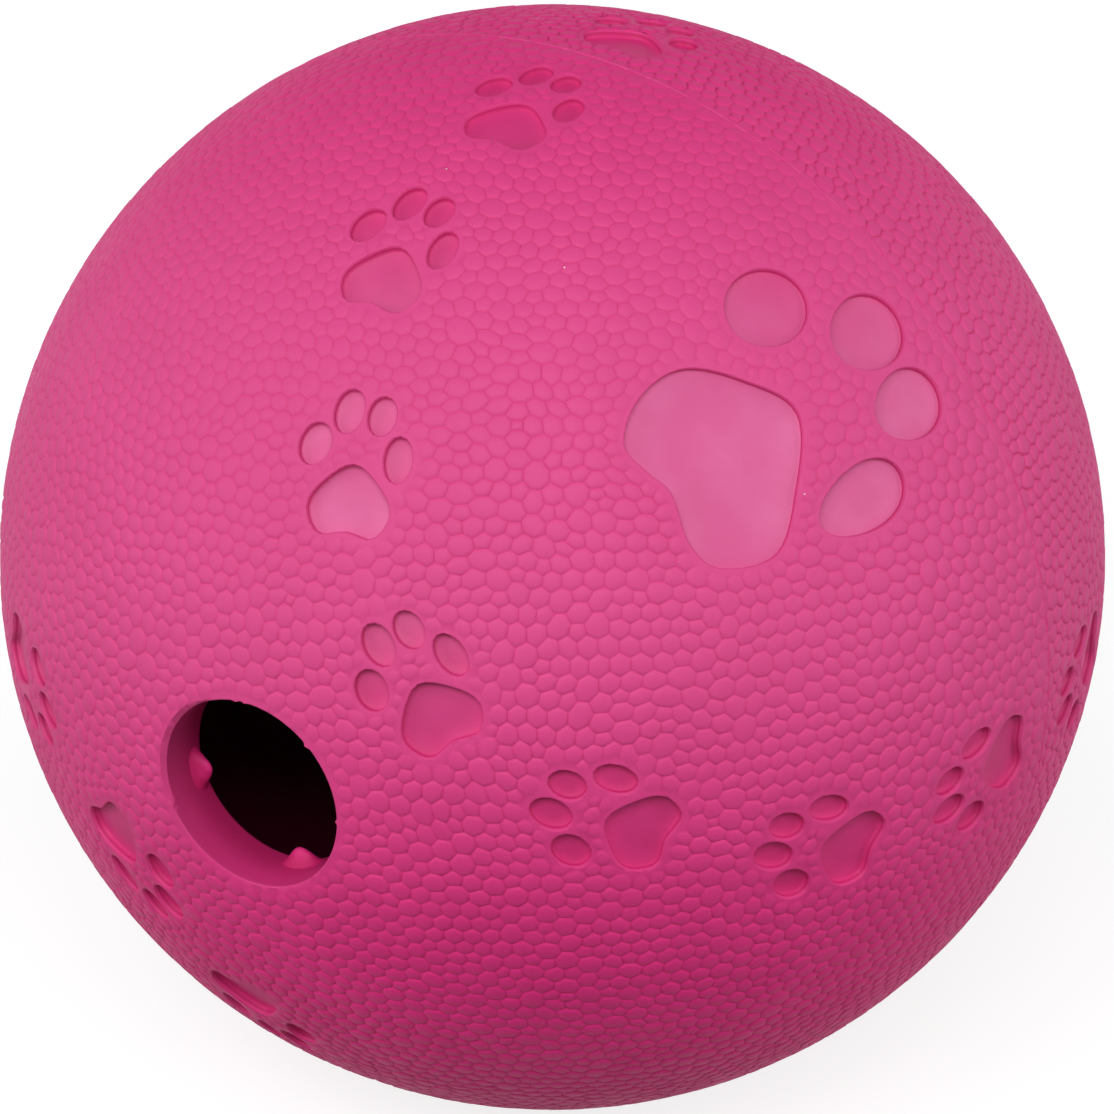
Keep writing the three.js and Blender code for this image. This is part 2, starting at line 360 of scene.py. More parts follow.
def lathe(name, profile, segments):
    """Turn a profile of (radius, y), its highest y first, about the Y axis, and close its ends."""
    angles = np.linspace(0, 2 * math.pi, segments, endpoint=False)
    rings = []
    for radius, along in profile:
        ring = [radius * np.cos(angles), np.broadcast_to(along, segments), radius * np.sin(angles)]
        rings.append(np.column_stack(ring))
    points, faces = stacked_rings(rings)
    return new_object(name, points, faces)


def box(name, low, high):
    """A plain box between two corners."""
    corners = [(x, y, z) for x in (low[0], high[0]) for y in (low[1], high[1]) for z in (low[2], high[2])]
    faces = [(0, 1, 3, 2), (4, 6, 7, 5), (0, 4, 5, 1), (2, 3, 7, 6), (0, 2, 6, 4), (1, 5, 7, 3)]
    return new_object(name, corners, faces)


# Places on the ball
def unit(vector):
    return vector / np.linalg.norm(vector)


def ball_direction(from_hole, roll):
    """The direction at an angle from the treat hole's middle, rolled about its axis."""
    away, turn = math.radians(from_hole), math.radians(roll)
    return np.array([math.sin(away) * math.cos(turn), -math.cos(away), math.sin(away) * math.sin(turn)])


def tangent_towards(outward, target):
    return unit(target - outward * (target @ outward))


def print_axes(outward, towards):
    """Columns forward, left and outward of a print."""
    forward = tangent_towards(outward, towards)
    return np.column_stack([forward, np.cross(outward, forward), outward])


def turned_axes(axes, turn):
    """A print's axes turned to the left."""
    cos, sin = math.cos(math.radians(turn)), math.sin(math.radians(turn))
    return axes @ np.array([[cos, -sin, 0], [sin, cos, 0], [0, 0, 1]])


def carried_axes(axes, place):
    """A print's axes carried along the skin to a place (forward, left) from its middle."""
    forward, left = place
    distance = math.hypot(forward, left)
    if distance == 0:
        return axes
    angle = distance / BALL_RADIUS
    along = (axes[:, 0] * forward + axes[:, 1] * left) / distance
    across = np.cross(axes[:, 2], along)
    turned_out = axes[:, 2] * math.cos(angle) + along * math.sin(angle)
    turned_along = along * math.cos(angle) - axes[:, 2] * math.sin(angle)
    share_forward, share_left = forward / distance, left / distance
    return np.column_stack([
        turned_along * share_forward - across * share_left,
        turned_along * share_left + across * share_forward,
        turned_out,
    ])


def track_point(roll, around):
    """A point of the oval track that the small prints walk round a large print."""
    centre = ball_direction(TRACK_FROM_HOLE, roll)
    to_hole = tangent_towards(centre, np.array([0, -1, 0]))
    across = np.cross(centre, to_hole)
    angle = math.radians(around)
    swell = (TRACK_LENGTH - TRACK_BREADTH) * math.cos(2 * angle)
    out = math.radians((TRACK_LENGTH + TRACK_BREADTH + swell) / 4)
    side = to_hole * math.cos(angle) + across * math.sin(angle)
    return centre * math.cos(out) + side * math.sin(out)


def large_print_places():
    places = []
    for pattern in range(PATTERN_COUNT):
        roll = PATTERN_ROLL + pattern * 360 / PATTERN_COUNT
        places.append(print_axes(ball_direction(LARGE_PRINT_FROM_HOLE, roll), np.array([0, 1, 0])))
    return places


def small_print_places():
    places = []
    step = 360 / len(SMALL_PRINTS)
    for pattern in range(PATTERN_COUNT):
        roll = PATTERN_ROLL + pattern * 360 / PATTERN_COUNT
        for index, print_place in enumerate(SMALL_PRINTS):
            point = track_point(roll, index * step)
            ahead = track_point(roll, index * step - 1)
            even_place = print_axes(point, ahead - point)
            places.append(turned_axes(carried_axes(even_place, print_place["stray"]), print_place["turn"]))
    return places


# Outlines of the recesses, as points in the plane that touches the ball at a recess's middle
def even_steps(loop, count):
    """The same closed loop with its points at even distances."""
    closed = np.vstack([loop, loop[:1]])
    lengths = np.linalg.norm(np.diff(closed, axis=0), axis=1)
    along = np.concatenate([[0], np.cumsum(lengths)])
    wanted = np.linspace(0, along[-1], count, endpoint=False)
    return np.column_stack([np.interp(wanted, along, closed[:, axis]) for axis in range(loop.shape[1])])


def loop_length(loop):
    return np.linalg.norm(np.roll(loop, -1, axis=0) - loop, axis=1).sum()


def pad_outline(corners, sides):
    """A smooth closed curve through the corners of a pad."""
    corners = np.array(corners, float)
    tangents = (np.roll(corners, -1, axis=0) - np.roll(corners, 1, axis=0)) / 2
    after, tangents_after = np.roll(corners, -1, axis=0), np.roll(tangents, -1, axis=0)
    stretches, fine_steps = [], 24
    for share in np.linspace(0, 1, fine_steps, endpoint=False):
        square, cube = share ** 2, share ** 3
        start = corners * (2 * cube - 3 * square + 1) + tangents * (cube - 2 * square + share)
        end = after * (3 * square - 2 * cube) + tangents_after * (cube - square)
        stretches.append(start + end)
    return even_steps(np.stack(stretches, axis=1).reshape(-1, 2), sides)


def toe_outline(toe, sides):
    """An egg-shaped toe, tilted to the left."""
    fine_steps = 6 * sides
    angle = np.linspace(0, 2 * math.pi, fine_steps, endpoint=False)
    ahead = toe["length"] / 2 * np.cos(angle)
    aside = toe["width"] / 2 * np.sin(angle) * (1 + toe["taper"] * np.cos(angle))
    cos, sin = math.cos(math.radians(toe["tilt"])), math.sin(math.radians(toe["tilt"]))
    return even_steps(np.column_stack([ahead * cos - aside * sin, ahead * sin + aside * cos]), sides)


def print_recesses(pad, pad_place, pad_sides, toes, toe_sides, toe_bowl):
    """The recesses of one print: the place, the outline and the bowl of each one's floor.

    The bowl is how far the floor's edge lies above its middle.
    """
    recesses = [(pad_place, pad_outline(pad, pad_sides), 0)]
    recesses += [(toe["place"], toe_outline(toe, toe_sides), toe_bowl) for toe in toes]
    return recesses


def widened(outline, distance):
    """An outline moved out by a distance, or in by a negative one."""
    along = np.roll(outline, -1, axis=0) - np.roll(outline, 1, axis=0)
    normals = np.column_stack([along[:, 1], -along[:, 0]])
    return outline + normals / np.linalg.norm(normals, axis=1)[:, None] * distance


def on_ball(axes, flat, depth=0):
    """Lift flat points on to the ball, or on to a smaller ball at a depth under the skin."""
    height = np.sqrt((BALL_RADIUS - depth) ** 2 - (flat ** 2).sum(axis=1))
    return np.column_stack([flat, height]) @ axes.T


# The cutters that sink the prints
def recess_profile(floor_edge):
    """Steps (out, depth) down a recess: over its rounded rim, down its wall and to its floor's edge."""
    rim, floor = PRINT_RIM_ROUNDING, PRINT_FLOOR_ROUNDING
    over_rim = []
    for degrees in (25, 75):
        angle = math.radians(degrees)
        over_rim.append((rim * (1 - math.sin(angle)), RIM_DROP + rim * (1 - math.cos(angle))))
    flare = (over_rim[0][0] + PRINT_CUTTER_FLARE, over_rim[0][1] - PRINT_CUTTER_RISE)
    return [
        (flare[0], -PRINT_CUTTER_TOP),
        flare,
        *over_rim,
        (-PRINT_DRAFT, floor_edge - floor),
        (-PRINT_DRAFT - floor, floor_edge),
    ]


def print_cutter(name, recesses, print_depth):
    """The solids that sink one print into the ball's top, forward along X."""
    points, faces = [], []
    count = 0
    for place, outline, bowl in recesses:
        axes = carried_axes(np.eye(3), place)
        profile = recess_profile(print_depth - bowl)
        rings = [on_ball(axes, widened(outline, out), depth) for out, depth in profile]
        inner = widened(outline, -PRINT_DRAFT - PRINT_FLOOR_ROUNDING)
        rings.append(on_ball(axes, inner * FLOOR_RING, print_depth - bowl * FLOOR_RING ** 2))
        rings.reverse()
        ring_points, ring_sides = stacked_rings(rings)
        faces += [tuple(corner + count for corner in face) for face in ring_sides]
        points.append(ring_points)
        count += len(ring_points)
    return new_object(name, np.concatenate(points), faces)


def stamp_tree():
    """Set a print's cutter at every place, turned by the place's forward and outward directions."""
    tree = bpy.data.node_groups.new("stamped prints", "GeometryNodeTree")
    sockets = tree.interface
    sockets.new_socket("Places", in_out="INPUT", socket_type="NodeSocketGeometry")
    sockets.new_socket("Print", in_out="INPUT", socket_type="NodeSocketObject")
    sockets.new_socket("Cutters", in_out="OUTPUT", socket_type="NodeSocketGeometry")
    given = Wire(tree).node("NodeGroupInput")
    directions = {}
    for name in ("forward", "outward"):
        kind = {"data_type": "FLOAT_VECTOR"}
        directions[name] = given.node("GeometryNodeInputNamedAttribute", kind, {"Name": name})
    turn = given.node("FunctionNodeAxesToRotation", {"primary_axis": "Z", "secondary_axis": "X"},
                      {0: directions["outward"], 1: directions["forward"]})
    shape = given.node("GeometryNodeObjectInfo", None, {"Object": given.output("Print")}, "Geometry")
    stamped = given.node("GeometryNodeInstanceOnPoints", None,
                         {"Points": given, "Instance": shape, "Rotation": turn})
    real = given.node("GeometryNodeRealizeInstances", None, {0: stamped})
    given.node("NodeGroupOutput", None, {0: given.node("GeometryNodeSetMaterial", None, {0: real})})
    return tree


def stamped_prints(name, cutter, places):
    """One object with the print's cutter at every place on the ball."""
    made = new_object(name, np.zeros((len(places), 3)), [])
    for attribute_name, column in (("forward", 0), ("outward", 2)):
        attribute = made.data.attributes.new(attribute_name, "FLOAT_VECTOR", "POINT")
        attribute.data.foreach_set("vector", np.array([axes[:, column] for axes in places]).ravel())
    modifier = made.modifiers.new("stamp", "NODES")
    modifier.node_group = PRINT_STAMP
    modifier[socket_id(PRINT_STAMP, "Print")] = cutter
    settle(made)
    return made


def socket_id(tree, name):
    """The identifier of a tree's named input."""
    for item in tree.interface.items_tree:
        if item.name == name and item.in_out == "INPUT":
            return item.identifier
    raise KeyError(name)


# Where the cobbles sit
def circle_on_ball(radius, count):
    """Points of the circle on the ball at a radius about the treat hole's axis."""
    angle = np.linspace(0, 2 * math.pi, count, endpoint=False)
    along = np.full(count, -math.sqrt(BALL_RADIUS ** 2 - radius ** 2))
    return np.column_stack([radius * np.cos(angle), along, radius * np.sin(angle)])


def rim_loops(prints):
    """The smooth rims' loops on the ball, each with the loop of the first cobbles beside it."""
    loops = []
    for places, recesses in prints:
        for axes in places:
            for place, outline, _ in recesses:
                seat = carried_axes(axes, place)
                loops.append((on_ball(seat, outline), on_ball(seat, widened(outline, RIM_ROW))))
    mouth, count = HOLE_RADIUS + LIP_BEVEL, 200
    loops.append((circle_on_ball(mouth, count), circle_on_ball(mouth + RIM_ROW, count)))
    return loops


def tree_of(points):
    """A search tree of points."""
    found = kdtree.KDTree(len(points))
    for index, point in enumerate(points):
        found.insert(point, index)
    found.balance()
    return found


def far_from(points, tree, distance):
    """The points that lie at least a distance away from the tree's points."""
    keep = [tree.find(point)[2] >= distance for point in points]
    return points[np.array(keep, bool)]


def thinned(points, distance):
    """The points, without each one that lies closer than a distance to an earlier one."""
    tree = tree_of(points)
    dropped = set()
    for index, point in enumerate(points):
        if index not in dropped:
            dropped.update(other for _, other, _ in tree.find_range(point, distance) if other > index)
    return points[[index for index in range(len(points)) if index not in dropped]]


def row_points(random):
    """Points in level rows all over the ball, each row from its own start and each point moved a little."""
    row_height, length = COBBLE_PITCH / COBBLE_STRETCH, COBBLE_PITCH * COBBLE_STRETCH
    rows = []
    for angle in np.arange(row_height / 2, math.pi * BALL_RADIUS, row_height) / BALL_RADIUS:
        radius = BALL_RADIUS * math.sin(angle)
        count = max(3, round(2 * math.pi * radius / length))
        turn = (np.arange(count) + random.random()) * 2 * math.pi / count
        rows.append(np.column_stack([
            radius * np.cos(turn), radius * np.sin(turn), np.full(count, BALL_RADIUS * math.cos(angle)),
        ]))
    points = np.concatenate(rows)
    return points + random.normal(0, COBBLE_JITTER * COBBLE_PITCH, points.shape)


def to_skin(points):
    return points / np.linalg.norm(points, axis=1)[:, None] * BALL_RADIUS


def ball_triangles(points):
    """Triangles between points of the ball, from their flat picture seen through the treat hole."""
    flat = points[:, [0, 2]] / (BALL_RADIUS + points[:, 1])[:, None]
    convex_hull, same_point = 0, 1e-9
    result = geometry.delaunay_2d_cdt([Vector(point) for point in flat], [], [], convex_hull, same_point)
    first = [found[0] for found in result[3]]
    triangles = np.array([[first[corner] for corner in face] for face in result[2]])
    a, b, c = (points[triangles[:, corner]] for corner in range(3))
    if (np.cross(b - a, c - a) * a).sum() < 0:
        triangles = triangles[:, ::-1]
    return triangles


def relaxed(points, fixed):
    """The points after each free one moves to the middle of the triangles round it."""
    triangles = ball_triangles(points)
    a, b, c = (points[triangles[:, corner]] for corner in range(3))
    area = np.linalg.norm(np.cross(b - a, c - a), axis=1)[:, None]
    total, weight = np.zeros_like(points), np.zeros((len(points), 1))
    for corner in range(3):
        np.add.at(total, triangles[:, corner], (a + b + c) / 3 * area)
        np.add.at(weight, triangles[:, corner], area)
    return to_skin(np.where(fixed[:, None], points, total / weight))


def cobble_layout(prints):
    """A closed mesh with a vertex at each cobble's seat, and at each step of the smooth rims."""
    random = np.random.default_rng(COBBLE_SEED)
    loops = rim_loops(prints)
    steps = [even_steps(rim, round(loop_length(rim) / RIM_STEP)) for rim, _ in loops]
    rims = thinned(to_skin(np.concatenate(steps)), RIM_SPACING)
    rim_tree = tree_of(rims)
    rows = [even_steps(row, round(loop_length(row) / RIM_ROW_STEP)) for _, row in loops]
    beside = thinned(far_from(to_skin(np.concatenate(rows)), rim_tree, ROW_TO_RIM), ROW_SPACING)
    field = far_from(to_skin(row_points(random)), rim_tree, FIELD_TO_RIM)
    field = thinned(far_from(field, tree_of(beside), FIELD_TO_ROW), FIELD_SPACING)
    points = np.concatenate([rims, beside, field])
    outside_hole = np.hypot(points[:, 0], points[:, 2]) > HOLE_RADIUS
    points = points[outside_hole | (points[:, 1] > 0)]
    fixed = np.arange(len(points)) < len(rims)
    for _ in range(RELAX_ROUNDS):
        points = relaxed(points, fixed)
    triangles = [tuple(face) for face in ball_triangles(points).tolist()]
    sides = {(face[step], face[step - 2]) for face in triangles for step in range(3)}
    open_sides = [(start, end) for start, end in sides if (end, start) not in sides]
    pole = len(points)
    triangles += [(end, start, pole) for start, end in open_sides]
    layout = new_object("cobble_layout", np.vstack([points, [0, -BALL_RADIUS, 0]]), triangles)
    rim = layout.data.attributes.new("rim", "FLOAT", "POINT")
    rim.data.foreach_set("value", np.append(fixed, True).astype(np.float32))
    return layout


# The cobbled skin
COBBLE_SIZES = {
    "Ball Radius": BALL_RADIUS * MM,
    "Groove Depth": GROOVE_DEPTH * MM,
    "Rear Groove Depth": REAR_GROOVE_DEPTH * MM,
    "Flank": FLANK * MM,
    "Shoulder": SHOULDER * MM,
    "Shoulder Drop": SHOULDER_DROP * MM,
    "Height Spread": HEIGHT_SPREAD * MM,
    "Rim Drop": RIM_DROP * MM,
    "Seam Smear": SEAM_SMEAR * MM,
}


def cobble_tree():
    """Raise a cobble on each seat, with sharp grooves between them and a plain band along the rims."""
    tree = bpy.data.node_groups.new("cobbled skin", "GeometryNodeTree")
    sockets = tree.interface
    sockets.new_socket("Layout", in_out="INPUT", socket_type="NodeSocketGeometry")
    for name in COBBLE_SIZES:
        sockets.new_socket(name, in_out="INPUT", socket_type="NodeSocketFloat")
    sockets.new_socket("Seed", in_out="INPUT", socket_type="NodeSocketInt")
    sockets.new_socket("Rubber", in_out="INPUT", socket_type="NodeSocketMaterial")
    sockets.new_socket("Skin", in_out="OUTPUT", socket_type="NodeSocketGeometry")
    given = Wire(tree).node("NodeGroupInput")
    radius, spread = given.output("Ball Radius"), given.output("Height Spread")
    front_groove, rear_groove = given.output("Groove Depth"), given.output("Rear Groove Depth")
    rim_drop = given.output("Rim Drop")
    place = given.node("GeometryNodeInputPosition")
    outward = place.vector("NORMALIZE", place)

    # A face for each seat, whose sides sink to the bottom of a groove, less at the seam and along the rims
    cells = given.node("GeometryNodeDualMesh", None, {"Mesh": given})
    lift = given.node("FunctionNodeRandomValue", {"data_type": "FLOAT"},
                      {2: 0 - spread, 3: spread, "Seed": given.output("Seed")}, 1)
    cells = given.node("GeometryNodeStoreNamedAttribute", {"data_type": "FLOAT", "domain": "FACE"},
                       {"Geometry": cells, "Name": "lift", "Value": lift})
    lift = given.node("GeometryNodeInputNamedAttribute", {"data_type": "FLOAT"}, {"Name": "lift"})
    rim = given.node("GeometryNodeInputNamedAttribute", {"data_type": "FLOAT"}, {"Name": "rim"})
    rearward = given.node("ShaderNodeSeparateXYZ", None, {0: place}, "Y")
    groove = front_groove + (rear_groove - front_groove) * rearward.sum("GREATER_THAN", rearward, 0)
    from_seam = rearward.sum("ABSOLUTE", rearward)
    depth = groove + (rim_drop - groove) * rim.sum("GREATER_THAN", rim, 0.5)
    unsmeared = from_seam.step(0, given.output("Seam Smear"))
    depth = depth * (SEAM_GROOVE_SHARE + (1 - SEAM_GROOVE_SHARE) * unsmeared)
    skin = given.node("GeometryNodeSetPosition", None,
                      {"Geometry": cells, "Position": outward.vector("SCALE", outward, radius - depth)})

    # Each cobble's steep flank, then the round shoulder up to its top
    faces = rim.sum("LESS_THAN", rim, 0.5)
    flank = (given.output("Flank"), given.output("Shoulder Drop"))
    shoulder = (given.output("Shoulder"), 0)
    for breadth, drop in (flank, shoulder):
        position = outward.vector("SCALE", outward, radius + lift - drop)
        skin, faces = raised_faces(skin, faces, breadth, position)
    real = given.node("GeometryNodeRealizeInstances", None, {0: skin})
    finished = given.node("GeometryNodeSetMaterial", None, {0: real, "Material": given.output("Rubber")})
    given.node("NodeGroupOutput", None, {0: finished})
    return tree


def raised_faces(skin, faces, breadth, position):
    """Draw the chosen faces in by a breadth and set them to a position. Gives the skin and its new tops."""
    skin = skin.node("GeometryNodeExtrudeMesh", {"mode": "FACES"},
                     {"Mesh": skin, "Selection": faces, "Offset Scale": 0.0, "Individual": True})
    tops = skin.output("Top")
    area = skin.node("GeometryNodeInputMeshFaceArea")
    share = 1 - breadth / area.sum("SQRT", area / math.pi)
    share = share.sum("MAXIMUM", share, SMALLEST_TOP)
    skin = skin.node("GeometryNodeScaleElements", {"domain": "FACE"},
                     {"Geometry": skin, "Selection": tops, "Scale": share})
    skin = skin.node("GeometryNodeSetPosition", None,
                     {"Geometry": skin, "Selection": tops, "Position": position})
    return skin, tops


def cobbled_skin(prints, rubber):
    """The ball's whole cobbled skin, as one closed surface."""
    skin = cobble_layout(prints)
    tree = cobble_tree()
    modifier = skin.modifiers.new("cobbles", "NODES")
    modifier.node_group = tree
    for name, value in COBBLE_SIZES.items():
        modifier[socket_id(tree, name)] = value
    modifier[socket_id(tree, "Seed")] = COBBLE_SEED
    modifier[socket_id(tree, "Rubber")] = rubber
    settle(skin)
    return skin


def hole_cutter():
    """The treat hole's bore, with a bevelled lip, wider where it was trimmed, that keeps a few bits."""
    segments = 240
    around = np.arange(segments) * 360 / segments
    wide = np.clip((around - WIDE_LIP_START) / WIDE_LIP_RUN_IN, 0, 1) * (around < WIDE_LIP_END)
    bevel = LIP_BEVEL + (WIDE_LIP_BEVEL - LIP_BEVEL) * wide
    bits = np.zeros(segments)
    for angle, reach, breadth in LIP_BITS:
        apart = (around - angle + 180) % 360 - 180
        bits += reach * np.exp(-(apart / breadth) ** 2)
    steps = []
    for share in (0, 1):
        radius = HOLE_RADIUS + bevel * (1 - share) - bits * (1 - LIP_BIT_THINNING * share)
        depth = RIM_DROP + bevel * share
        steps.append((radius, -np.sqrt((BALL_RADIUS - depth) ** 2 - radius ** 2)))
    mouth_radius, mouth = steps[0]
    slope = math.tan(math.radians(HOLE_CUTTER_SLOPE))
    flare = (mouth_radius + HOLE_CUTTER_FLARE, mouth - HOLE_CUTTER_FLARE * slope)
    outside = (flare[0], -BALL_RADIUS - HOLE_CUTTER_TOP)
    below_lip = (HOLE_RADIUS, -BALL_RADIUS + LIP_HEIGHT)
    inside = (HOLE_RADIUS, -CAVITY_RADIUS + HOLE_CUTTER_INSIDE)
    ends = (AXIS_GAP, inside[1]), (AXIS_GAP, outside[1])
    profile = [ends[0], inside, below_lip, *reversed(steps), flare, outside, ends[1]]
    return lathe("hole_cutter", profile, segments)


def cavity_cutter():
    """The hollow inside the ball."""
    levels, segments, first_angle = 32, 64, 2
    angles = np.linspace(math.radians(first_angle), math.radians(180 - first_angle), levels)
    profile = [(CAVITY_RADIUS * math.sin(angle), CAVITY_RADIUS * math.cos(angle)) for angle in angles]
    return lathe("cavity_cutter", profile, segments)


def half_shells(skin, rubber):
    """The two half shells: the skin with its hollow cut out, parted at the seam."""
    hole, cavity = hole_cutter(), cavity_cutter()
    carve(skin, hole)
    carve(skin, cavity)
    far, seam = BALL_RADIUS + SIDE_BOX_MARGIN, SEAM_WIDTH / 2
    rear_side = box("rear_side", (-far, -seam, -far), (far, far, far))
    front_side = box("front_side", (-far, -far, -far), (far, seam, far))
    front = copy_of(skin, "cobbled_front_half")
    carve(front, rear_side)
    rear = copy_of(skin, "cobbled_rear_half")
    carve(rear, front_side)
    for half in (front, rear):
        half.data.materials.clear()
        half.data.materials.append(rubber)
    remove(hole, cavity, rear_side, front_side, skin)
    return front, rear


def smooth(item):
    """Round shading, with crisp edges where the faces turn by more than the smooth angle."""
    item.data.shade_smooth()
    item.data.set_sharp_from_angle(angle=math.radians(SMOOTH_ANGLE))


def seam_bead():
    """The bond of the two halves, a thin ring whose outer edge stands just proud of the skin."""
    segments, crown_steps = 720, 7
    crown = []
    for share in np.linspace(-1, 1, crown_steps):
        crown.append((BALL_RADIUS + SEAM_PROUD * (1 - 2 * share ** 2), SEAM_WIDTH / 2 * share))
    profile = [*reversed(crown), (CAVITY_RADIUS, -SEAM_WIDTH / 2), (CAVITY_RADIUS, SEAM_WIDTH / 2)]
    angles = np.linspace(0, 2 * math.pi, segments, endpoint=False)
    points, faces = [], []
    for radius, along in profile:
        ring = [radius * np.cos(angles), np.full(segments, along), radius * np.sin(angles)]
        points.append(np.column_stack(ring))
    for level in range(len(profile)):
        after = (level + 1) % len(profile)
        faces += ring_faces(level * segments, after * segments, segments)
    return new_object("seam_bead", np.concatenate(points), faces)


def lug(index):
    """A rubber lug that ramps up along the bore to a round crest at its inner end."""
    turn = math.radians(LUG_ROLL + index * 360 / LUG_COUNT)
    inward = np.array([math.sin(turn), 0, -math.cos(turn)])
    along = np.array([math.cos(turn), 0, math.sin(turn)])
    inner_end = -math.sqrt(CAVITY_RADIUS ** 2 - HOLE_RADIUS ** 2)
    slices, ramp_steps, foot_steps = 25, 16, (0.9, 0.5, 0.1)
    rings = []
    for share in np.linspace(-1, 1, slices):
        aside = share * LUG_WIDTH * LUG_SPREAD
        wall = math.sqrt(HOLE_RADIUS ** 2 - aside ** 2)
        swell = math.cos(math.pi * share / 2) ** 2
        ring = []
        for step in range(ramp_steps):
            over = step / (ramp_steps - 1)
            rise = LUG_REACH * swell * math.sin(math.pi * over) - LUG_FOOT * LUG_SINK
            level = inner_end - LUG_RAMP * (1 - over ** LUG_RAMP_CURVE)
            ring.append(along * aside - inward * (wall - rise) + (0, level, 0))
        for over in foot_steps:
            level = inner_end - LUG_RAMP * (1 - over)
            ring.append(along * aside - inward * (wall + LUG_FOOT) + (0, level, 0))
        rings.append(np.array(ring))
    points, faces = stacked_rings(rings)
    return new_object(f"rubber_lug_{index + 1}", points, faces)


# Materials
def rubber_start(name):
    """A new material with no nodes yet, and the place of a point in it, in millimetres."""
    material = bpy.data.materials.new(name)
    material.use_nodes = True
    material.node_tree.nodes.clear()
    spot = Wire(material.node_tree).node("ShaderNodeTexCoord", None, None, "Object")
    return material, spot.vector("SCALE", spot, 1 / MM)


def blotches(place, size, detail=2):
    """Soft blotches of about a size in millimetres, from 0 to 1."""
    return place.node("ShaderNodeTexNoise", None, {"Vector": place, "Scale": 1 / size, "Detail": detail})


def mixed(share, first, second):
    """A colour on the way from the first to the second."""
    colours = {6: first, 7: second}
    sockets = {key: value if isinstance(value, Wire) else (*value, 1) for key, value in colours.items()}
    return share.node("ShaderNodeMix", {"data_type": "RGBA"}, {0: share, **sockets}, 2)


def rubber_finish(colour, roughness, grain):
    """The shader of a rubber, from its colour, its roughness and the height of its fine grain."""
    bump = grain.node("ShaderNodeBump", None,
                      {"Strength": GRAIN_STRENGTH, "Distance": GRAIN_HEIGHT * MM, "Height": grain})
    sockets = {"Base Color": colour, "Roughness": roughness, "Normal": bump, "Specular IOR Level": GLOSS}
    shader = grain.node("ShaderNodeBsdfPrincipled", None, sockets)
    grain.node("ShaderNodeOutputMaterial", None, {"Surface": shader})


